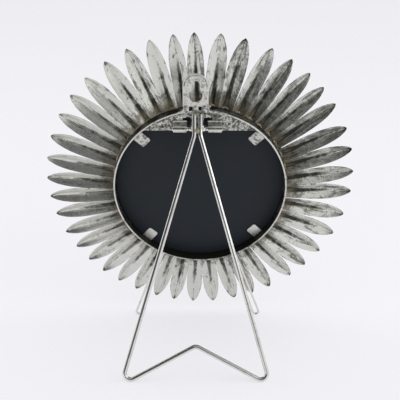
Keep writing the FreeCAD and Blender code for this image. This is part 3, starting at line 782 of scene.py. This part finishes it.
def leaf_breadths(sizes):
    """How much each leaf spreads to meet its neighbours near a third of its length."""
    step = math.tau / LEAF_COUNT
    drifts, swings = np.radians(LEAF_DRIFTS), np.radians(LEAF_SWINGS)
    to_next = step + drifts - np.roll(drifts, -1)
    fanned = to_next + swings - np.roll(swings, -1)
    meeting_share, filled_share, most_spread = 0.35, 0.95, 1.13
    room = BAND_RADIUS * to_next + meeting_share * sizes.length * fanned
    room = np.minimum(room, np.roll(room, 1))
    return np.clip(room / (filled_share * sizes.width), 1.0, most_spread)


def set_round_drum(name, blank_mesh, material, root_radius, breadths, seed):
    """Set a blank at every leaf's root and return the ring as one plain mesh object."""
    roots = bpy.data.meshes.new(name + "_roots")
    roots.from_pydata([(0, 0, 0)] * LEAF_COUNT, [], [])
    for label, values in (("drift", np.radians(LEAF_DRIFTS)), ("swing", np.radians(LEAF_SWINGS)),
                          ("breadth", breadths)):
        layer = roots.attributes.new(label, "FLOAT", "POINT")
        layer.data.foreach_set("value", values.astype(np.float32))
    made = new_object(name, roots, material)
    blank = new_object(name + "_blank", blank_mesh, material)
    tree = leaf_ring_group()
    ring = made.modifiers.new("Leaf ring", "NODES")
    ring.node_group = tree
    sockets = {
        item.name: item.identifier for item in tree.interface.items_tree
        if item.in_out == "INPUT"}
    values = {
        "Blank": blank, "Count": LEAF_COUNT, "Root radius": root_radius, "Lean": LEAN,
        "Centre": drum_frame.translation, "Seed": seed, "Material": material}
    for label, value in values.items():
        ring[sockets[label]] = value
    evaluated = bpy.context.evaluated_depsgraph_get()
    mesh = bpy.data.meshes.new_from_object(
        made.evaluated_get(evaluated), preserve_all_data_layers=True, depsgraph=evaluated)
    made.modifiers.clear()
    made.data = mesh
    bpy.data.objects.remove(blank)
    return made


class ROUNDFRAME_OT_leaves(bpy.types.Operator):
    """Make the ring of folded leaves and the filler at their roots"""

    bl_idname = "round_frame.leaves"
    bl_label = "Leaves"

    def execute(self, context):
        settings = context.scene.round_frame
        root_radius = BAND_RADIUS + settings.leaf.root_gap
        breadths = leaf_breadths(settings.leaf)
        leaves = set_round_drum(
            "leaves", leaf_blank(settings.leaf), leaf_metal(settings.colour), root_radius,
            breadths, seed=4)
        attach(leaves, "frame")
        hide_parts(*(f"petal_{place:02d}" for place in range(1, LEAF_COUNT + 1)))
        drops = set_round_drum(
            "root_filler", root_drop_blank(settings.leaf), braze_metal(settings.colour),
            root_radius, breadths, seed=9)
        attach(drops, "frame")
        return {"FINISHED"}


class ROUNDFRAME_OT_drum(bpy.types.Operator):
    """Finish the drum and its front moulding"""

    bl_idname = "round_frame.drum"
    bl_label = "Drum"

    def execute(self, context):
        colours = context.scene.round_frame.colour
        eased("ring_band", band_metal(colours), "frame", 0.3 * MM)
        eased("front_bezel", moulding_metal(colours), "frame", 0.25 * MM)
        return {"FINISHED"}


class ROUNDFRAME_OT_contents(bpy.types.Operator):
    """Finish the glass, the blank print and the backing board"""

    bl_idname = "round_frame.contents"
    bl_label = "Contents"

    def execute(self, context):
        colours = context.scene.round_frame.colour
        eased("backing_board", board_surface(colours), "frame", 0.35 * MM)
        eased("glass", pane_glass(), "frame", 0.15 * MM)
        dress("photo_insert", photo_paper())
        return {"FINISHED"}


class ROUNDFRAME_OT_tabs(bpy.types.Operator):
    """Finish the four retaining tabs"""

    bl_idname = "round_frame.tabs"
    bl_label = "Retaining tabs"

    def execute(self, context):
        colours = context.scene.round_frame.colour
        dull = sheet_metal(colours, "Tab silver", 380.0, 0.9, 0.0)
        # Painted light: the low tabs 2 and 3 get a lighter copy of the tab silver, standing in for
        # the light they catch
        bright = sheet_metal(colours, "Bright tab silver", 380.0, 0.3, -0.5)
        for place, metal in ((1, dull), (2, bright), (3, bright), (4, dull)):
            eased(f"retaining_tab_{place}", metal, f"tab_{place}", 0.22 * MM)
        return {"FINISHED"}


class ROUNDFRAME_OT_hinge(bpy.types.Operator):
    """Finish the hinge plate, its knuckles and the filler at their roots"""

    bl_idname = "round_frame.hinge"
    bl_label = "Hinge"

    # Where the drops at a knuckle's root stand, in millimetres outward, and their sizes
    root_drops = ((-3.6, 1.0), (-1.2, 0.8), (1.4, 0.95), (3.8, 0.75))

    def execute(self, context):
        colours = context.scene.round_frame.colour
        eased("hinge_plate", sheet_metal(colours, "Plate silver", 420.0, 1.4, 0.06),
              "frame", 0.25 * MM)
        knuckle = knuckle_metal(colours)
        for side in ("left", "right"):
            eased("hinge_knuckle_" + side, knuckle, "frame", 0.3 * MM)
        drops = [
            ((HINGE_ACROSS + side * (KNUCKLE_MIDDLE + step * MM), 0.55 * MM, HINGE_UP + 5.0 * MM),
             (1.9 * MM * size, 0.7 * MM, 0.85 * MM * size))
            for side in (-1, 1) for step, size in self.root_drops]
        add_filler("knuckle_welds", drops, sheet_metal(
            colours, "Weld silver", 420.0, 0.6, -0.12), "frame")
        return {"FINISHED"}


class ROUNDFRAME_OT_easel_leg(bpy.types.Operator):
    """Finish the easel leg, its rod and the welds between its wires"""

    bl_idname = "round_frame.easel_leg"
    bl_label = "Easel leg"

    def execute(self, context):
        colours = context.scene.round_frame.colour
        wire = wire_metal(colours)
        dress("easel_leg", wire)
        dress("hinge_rod", wire)
        upper = Vector((HINGE_ACROSS, STUB_REARWARD, STUB_UP))
        below = CROSSING + LEG_DOWNWARD * 1.6 * MM + LEG_REARWARD * 0.9 * MM
        welds = add_filler("leg_welds", (
            (below, (2.0 * MM, 1.7 * MM, 1.9 * MM)),
            (upper + Vector((0, 0.4 * MM, -0.9 * MM)), (2.3 * MM, 1.1 * MM, 1.0 * MM)),
            (upper + Vector((1.0 * MM, 1.1 * MM, 1.0 * MM)), (2.2 * MM, 0.9 * MM, 1.5 * MM)),
        ), braze_metal(colours), "stand")
        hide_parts("leg_weld")
        collars = []
        for side in (-1, 1):
            outer = HINGE_ACROSS + side * (WIRE_HALF_PAIR + WIRE_RADIUS)
            collars += [
                ((outer + side * 0.4 * MM, ROD_REARWARD + 0.9 * MM, HINGE_UP + 0.4 * MM),
                 (2.2 * MM, 2.0 * MM, 1.9 * MM)),
                ((outer - side * 0.3 * MM, ROD_REARWARD + 1.6 * MM, HINGE_UP + 1.9 * MM),
                 (1.2 * MM, 1.4 * MM, 2.0 * MM))]
        add_filler("rod_welds", collars, wire, "stand")
        return {"FINISHED"}


class ROUNDFRAME_OT_hanger(bpy.types.Operator):
    """Finish the keyhole hanger and the filler that carries it on the drum's rim"""

    bl_idname = "round_frame.hanger"
    bl_label = "Hanger"

    # In millimetres: the beads' places across, a run of filler up from the rim to the hanger's
    # corner, as (across, up), and the places across of the filler along the rim at its radius
    bead_places = (10.2, 4.0, -2.4, -6.0)
    ridge = ((15.5, 64.1), (13.2, 64.8), (11.9, 66.2), (10.9, 67.9), (9.8, 69.2))
    spread = range(-8, -20, -1)
    spread_radius = 65.0

    def execute(self, context):
        colours = context.scene.round_frame.colour
        eased("hanger_plate", hanger_metal(colours), "frame", 0.3 * MM)
        filler = sheet_metal(colours, "Filler silver", 420.0, 0.9, 0.08)
        drops = []
        for place in self.bead_places:
            across = place * MM
            drops += [
                ((across, 0.7 * MM, 65.0 * MM), (1.6 * MM, 0.85 * MM, 1.3 * MM)),
                ((across + 0.2 * MM, 0.8 * MM, 67.2 * MM), (1.4 * MM, 0.8 * MM, 1.6 * MM)),
                ((across - 0.2 * MM, 0.9 * MM, 69.2 * MM), (1.8 * MM, 0.7 * MM, 1.1 * MM))]
        for place in self.spread:
            up = math.sqrt(self.spread_radius**2 - place**2)
            drops.append(((place * MM, -0.1 * MM, up * MM), (1.3 * MM, 0.75 * MM, 1.25 * MM)))
        add_filler("hanger_beads", drops, filler, "frame")
        bright = sheet_metal(colours, "Ridge silver", 420.0, 0.4, -0.25)
        steps = [
            Vector((a[0] + (b[0] - a[0]) * share, 0.55, a[1] + (b[1] - a[1]) * share)) * MM
            for a, b in zip(self.ridge, self.ridge[1:]) for share in (0, 0.33, 0.67)]
        drops = [(step, (0.75 * MM, 0.65 * MM, 0.75 * MM)) for step in steps]
        add_filler("hanger_ridge", drops, bright, "frame")
        return {"FINISHED"}


class ROUNDFRAME_OT_front_feet(bpy.types.Operator):
    """Finish the two thin front feet"""

    bl_idname = "round_frame.front_feet"
    bl_label = "Front feet"

    def execute(self, context):
        wire = wire_metal(context.scene.round_frame.colour)
        for node in ("front_foot_left", "front_foot_right"):
            dress(node, wire)
        return {"FINISHED"}


class ROUNDFRAME_OT_stage(bpy.types.Operator):
    """Make the floor, the room's light, the lamps and the camera"""

    bl_idname = "round_frame.stage"
    bl_label = "Stage"

    floor_half_width = 6.0
    # Each lamp's name, place, size and the setting with its power; all face the frame's middle
    lamps = (
        ("Key lamp", (-0.75, 0.55, 0.62), (0.5, 0.5), "key_power"),
        ("Side lamp", (-1.2, -0.15, 0.7), (0.5, 0.9), "side_power"),
        ("Fill lamp", (1.2, -0.4, 0.7), (0.5, 0.9), "fill_power"),
    )
    lamp_target = Vector((0, 0, 0.12))
    sun_spread = math.radians(70)
    sun_turn = (math.radians(-12), math.radians(-14), 0)

    def execute(self, context):
        scene = context.scene
        stage = scene.round_frame.stage
        scene.view_settings.view_transform = "Standard"
        self.make_floor(stage)
        self.make_room(scene, stage)
        self.make_card()
        for name, place, size, power in self.lamps:
            self.make_lamp(name, place, size, getattr(stage, power))
        sun_data = bpy.data.lights.new("Soft sun", "SUN")
        sun_data.energy = stage.sun_strength
        sun_data.angle = self.sun_spread
        sun = bpy.data.objects.new("Soft sun", sun_data)
        sun.rotation_euler = self.sun_turn
        scene.collection.objects.link(sun)
        camera_data = bpy.data.cameras.new("Camera")
        camera_data.lens = stage.lens
        camera_data.clip_start = 0.01
        camera = bpy.data.objects.new("Camera", camera_data)
        rim_centre = drum_frame.translation
        camera.location = (
            rim_centre.x, rim_centre.y + stage.camera_rearward, stage.camera_height)
        camera.rotation_euler = (math.pi / 2 - stage.camera_pitch, 0, math.pi)
        scene.collection.objects.link(camera)
        scene.camera = camera
        return {"FINISHED"}

    def make_floor(self, stage):
        half = self.floor_half_width
        mesh = bpy.data.meshes.new("floor")
        mesh.from_pydata(
            [(-half, -half, 0), (half, -half, 0), (half, half, 0), (-half, half, 0)], [],
            [(0, 1, 2, 3)])
        material, tree = new_material("Floor")
        tone = speckle(tree, object_place(tree), 3.0, 2.0)
        colour = blend(tree, tone, opaque(stage.floor), opaque(0.985 * c for c in stage.floor))
        finish(material, colour, ramp(tree, tone, 0.0, 1.0, 0.85, 0.9), 0.0)
        shader = tree.nodes["Principled BSDF"]
        shader.inputs["Specular IOR Level"].default_value = 0.1
        # Part of the floor is seen at its own colour, so shadows on it stay faint
        glow = add(tree, "ShaderNodeEmission", {"Color": colour, "Strength": 1.0})
        share = times(tree, seen_directly(tree), stage.floor_glow)
        join_shaders(tree, share, shader.outputs["BSDF"], glow.outputs["Emission"])
        new_object("floor", mesh, material)

    def make_room(self, scene, stage):
        """Even light for the object; the metal mirrors a pale wall and window, the rest dim."""
        world = bpy.data.worlds.new("Room")
        scene.world = world
        world.use_nodes = True
        tree = world.node_tree
        tree.nodes.clear()
        place = add(tree, "ShaderNodeTexCoord").outputs["Generated"]
        ways = add(tree, "ShaderNodeSeparateXYZ", {"Vector": place})
        # The ceiling, and the room behind the camera apart from a window at one side
        overhead = ramp(tree, ways.outputs["Z"], 0.10, 0.75)
        rearward = ramp(tree, ways.outputs["Y"], -0.05, 0.4)
        off_window = ramp(tree, ways.outputs["X"], -0.55, -0.1)
        dim = calc(tree, "MAXIMUM", overhead, times(tree, rearward, off_window))
        mirrored = ramp(tree, dim, 0.0, 1.0, stage.wall, stage.ceiling)
        from_camera = tree.nodes.new("ShaderNodeLightPath").outputs["Is Camera Ray"]
        seen = ramp(tree, from_camera, 0.0, 1.0, mirrored, stage.wall)
        strength = ramp(tree, seen_directly(tree), 0.0, 1.0, stage.room_light, seen)
        sky = add(tree, "ShaderNodeBackground", {"Color": (1, 1, 1, 1), "Strength": strength})
        shown = tree.nodes.new("ShaderNodeOutputWorld")
        tree.links.new(sky.outputs["Background"], shown.inputs["Surface"])

    def make_card(self):
        """A dark card at one side, seen only in the metal, so the leaves' two halves differ."""
        aside, front, rear, low, top = 0.38, 0.1, 0.75, 0.2, 0.6
        mesh = bpy.data.meshes.new("dark_card")
        mesh.from_pydata(
            [(aside, front, low), (aside, front, top), (aside, rear, top), (aside, rear, low)], [],
            [(0, 1, 2, 3)])
        material, tree = new_material("Dark card")
        grain = speckle(tree, object_place(tree), 40.0)
        colour = blend(tree, grain, (0.02, 0.02, 0.02, 1.0), (0.03, 0.03, 0.03, 1.0))
        finish(material, colour, 0.9, 0.0)
        card = new_object("dark_card", mesh, material)
        card.visible_camera = False
        card.visible_diffuse = False
        card.visible_shadow = False
        card.visible_transmission = False

    def make_lamp(self, name, place, size, power):
        lamp_data = bpy.data.lights.new(name, "AREA")
        lamp_data.energy = power
        lamp_data.shape = "RECTANGLE"
        lamp_data.size, lamp_data.size_y = size
        lamp = bpy.data.objects.new(name, lamp_data)
        lamp.location = place
        aim = self.lamp_target - Vector(place)
        lamp.rotation_euler = aim.to_track_quat("-Z", "Y").to_euler()
        bpy.context.scene.collection.objects.link(lamp)


OPERATORS = (
    ROUNDFRAME_OT_stage, ROUNDFRAME_OT_drum, ROUNDFRAME_OT_contents, ROUNDFRAME_OT_leaves,
    ROUNDFRAME_OT_tabs, ROUNDFRAME_OT_hinge, ROUNDFRAME_OT_easel_leg, ROUNDFRAME_OT_hanger,
    ROUNDFRAME_OT_front_feet,
)


class ROUNDFRAME_PT_panel(bpy.types.Panel):
    """Sizes, colours and the operators that make the frame"""

    bl_idname = "ROUNDFRAME_PT_panel"
    bl_label = "Round Photo Frame"
    bl_space_type = "VIEW_3D"
    bl_region_type = "UI"
    bl_category = "Photo Frame"

    def draw(self, context):
        settings = context.scene.round_frame
        for group in (settings.leaf, settings.colour, settings.stage):
            box = self.layout.box()
            for name in group.__annotations__:
                box.prop(group, name)
        for operator in OPERATORS:
            self.layout.operator(operator.bl_idname)


CLASSES = (LeafSizes, FinishColours, StageSettings, RoundFrameSettings, *OPERATORS,
           ROUNDFRAME_PT_panel)


def register():
    for kind in CLASSES:
        bpy.utils.register_class(kind)
    bpy.types.Scene.round_frame = bpy.props.PointerProperty(
        type=RoundFrameSettings, name="Round frame", description="Settings of the photo frame")


def unregister():
    del bpy.types.Scene.round_frame
    for kind in reversed(CLASSES):
        bpy.utils.unregister_class(kind)


def main():
    register()
    bpy.ops.round_frame.stage()
    bpy.ops.round_frame.drum()
    bpy.ops.round_frame.contents()
    bpy.ops.round_frame.leaves()
    bpy.ops.round_frame.tabs()
    bpy.ops.round_frame.hinge()
    bpy.ops.round_frame.easel_leg()
    bpy.ops.round_frame.hanger()
    bpy.ops.round_frame.front_feet()


if __name__ == "__main__":
    main()
